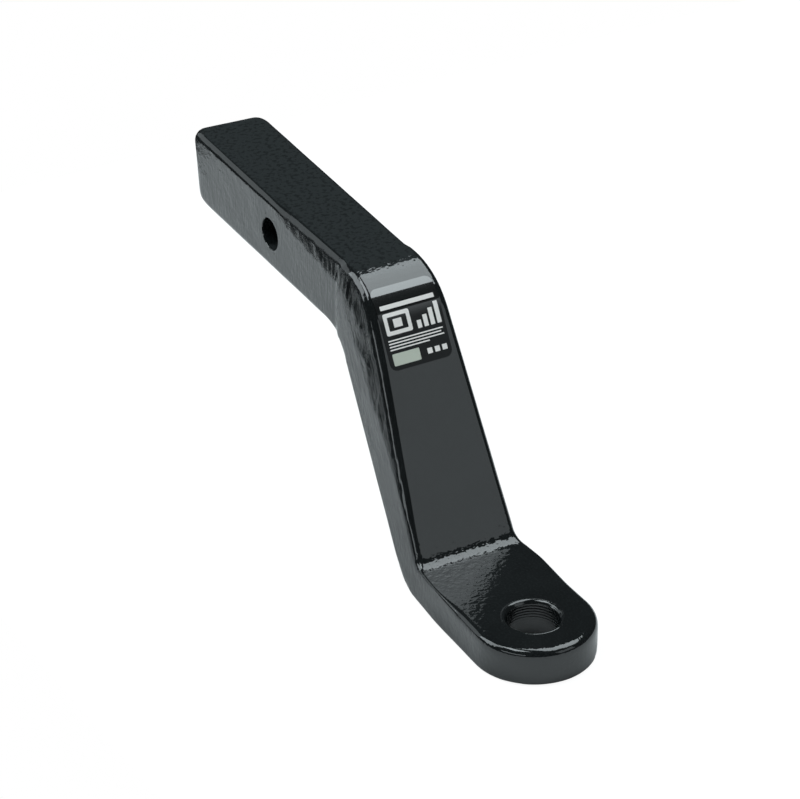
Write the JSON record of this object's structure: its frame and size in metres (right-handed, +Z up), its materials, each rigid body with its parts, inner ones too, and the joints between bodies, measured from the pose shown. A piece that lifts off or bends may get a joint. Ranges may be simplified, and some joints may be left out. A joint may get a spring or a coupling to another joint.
{
  "type": "drop hitch bar",
  "caption": "Cranked steel tow bar with a square receiver shank, a cross hole for a hitch pin, a sloping neck and a flat round-nosed tongue drilled for a ball.",
  "frame": {"origin": "centre of the hitch pin hole, in the middle of the square shank", "axes": "+X along the shank towards the ball end, +Y along the hitch pin hole, +Z up, with the tongue below the shank"},
  "size_m": [0.2773, 0.05, 0.1121],
  "materials": {
    "black_paint": "gloss black paint over forged steel, slightly pebbled",
    "label_film": "gloss printed film"
  },
  "bodies": {
    "root": {"drop_bar": "black_paint", "label": "label_film"}
  },
  "joints": []
}
